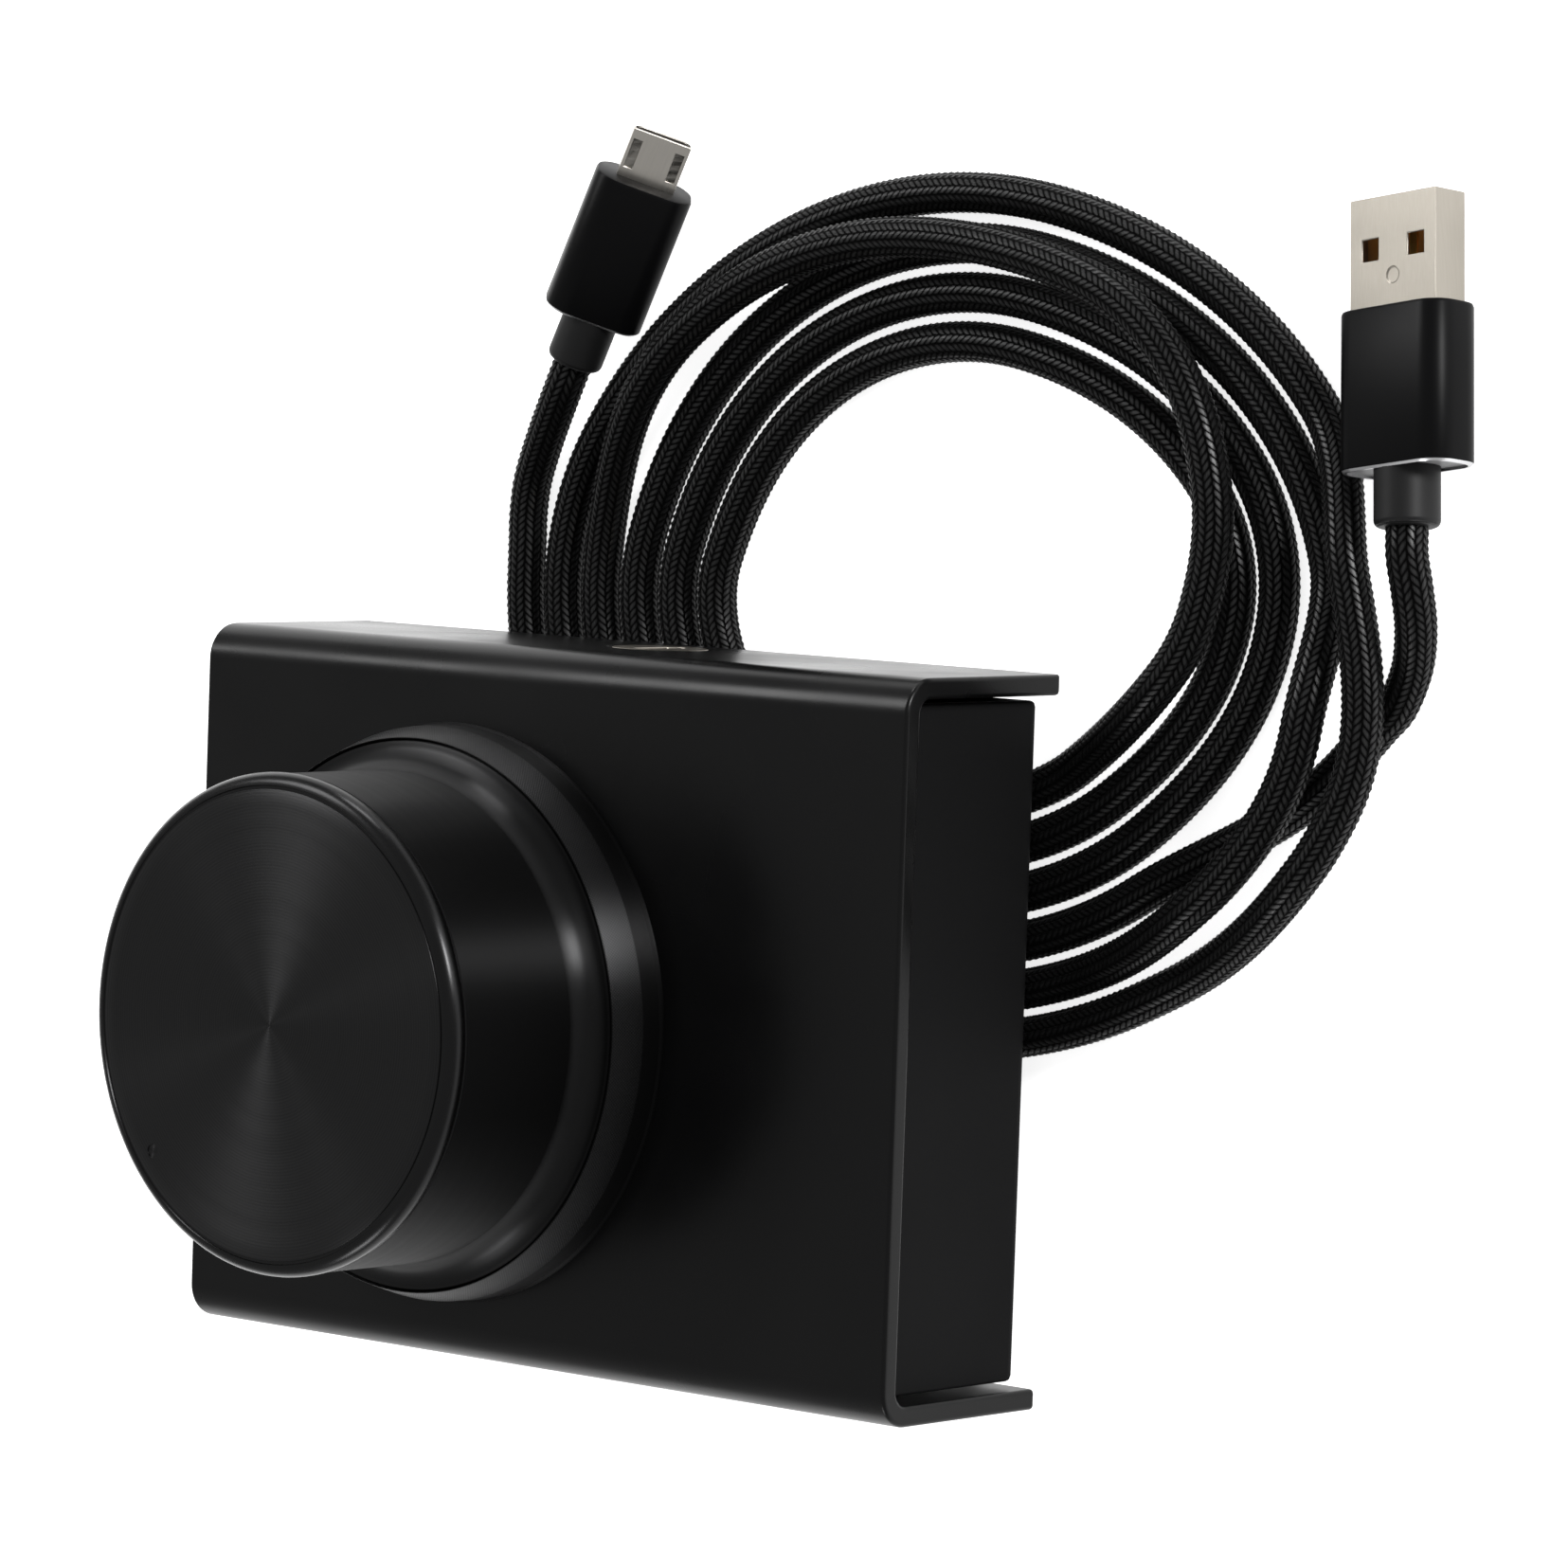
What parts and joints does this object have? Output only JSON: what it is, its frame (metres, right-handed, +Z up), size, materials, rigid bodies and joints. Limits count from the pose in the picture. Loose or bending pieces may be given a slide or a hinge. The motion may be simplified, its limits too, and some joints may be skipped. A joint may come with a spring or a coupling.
{
  "type": "usb volume control knob",
  "caption": "Desktop volume control: a turned push dial on a folded black metal box, with its coiled braided cord.",
  "frame": {"origin": "under the middle of the box, on the surface that its feet stand on", "axes": "+Z up along the dial's axis, +Y towards the socket side, +X along the box's long side"},
  "size_m": [0.1584, 0.1382, 0.0589],
  "materials": {
    "aluminium_black": "satin",
    "dial_black": "turned satin",
    "sleeve_black": "matte",
    "steel": "satin",
    "black_steel": "satin",
    "plated": "satin plated",
    "brass": "satin",
    "gold": "polished",
    "rubber": "matte",
    "white_plastic": "matte",
    "black_plastic": "matte",
    "grey_plastic": "satin",
    "amber_plastic": "satin",
    "board_green": "satin",
    "chip_tan": "matte",
    "braid": "braided"
  },
  "bodies": {
    "housing": {"cover": "aluminium_black", "cover_pillars": "steel", "tray": "aluminium_black", "tray_screws": "black_steel", "feet": "rubber", "base_ring": "aluminium_black", "ring_screws": "steel", "switch_dome": "steel", "encoder_body": "black_plastic", "encoder_cap": "steel", "encoder_bushing": "brass", "washer": "steel", "lock_nut": "steel", "main_board": "board_green", "board_posts": "brass", "board_screws": "steel", "controller_chip": "black_plastic", "small_chips": "chip_tan", "port_board": "board_green", "socket_shell": "plated", "socket_tongue": "black_plastic", "port_bezel": "plated", "cord_coil": "braid", "cord_lead_small": "braid", "cord_lead_large": "braid", "small_collar": "black_plastic", "small_sleeve": "sleeve_black", "small_sleeve_cap": "grey_plastic", "small_shell": "plated", "small_tongue": "black_plastic", "large_collar": "black_plastic", "large_sleeve": "sleeve_black", "large_sleeve_cap": "grey_plastic", "large_shell": "plated", "large_tongue": "amber_plastic", "large_contacts": "gold"},
    "push_plunger": {"switch_plunger": "white_plastic"},
    "dial": {"dial_knob": "dial_black", "dial_hub": "white_plastic", "shaft": "steel", "encoder_rotor": "white_plastic"}
  },
  "joints": [
    {"name": "dial_push", "type": "slide", "parent": "housing", "child": "push_plunger", "axis": [0, 0, -1], "range_m": [0, 0.0005], "stiffness_N_per_m": 4000, "springref_m": -0.0005},
    {"name": "dial_turn", "type": "hinge", "parent": "push_plunger", "child": "dial", "pos_m": [-0.0128, -0.0012, 0.0308], "axis": [0, 0, 1], "continuous": true}
  ]
}
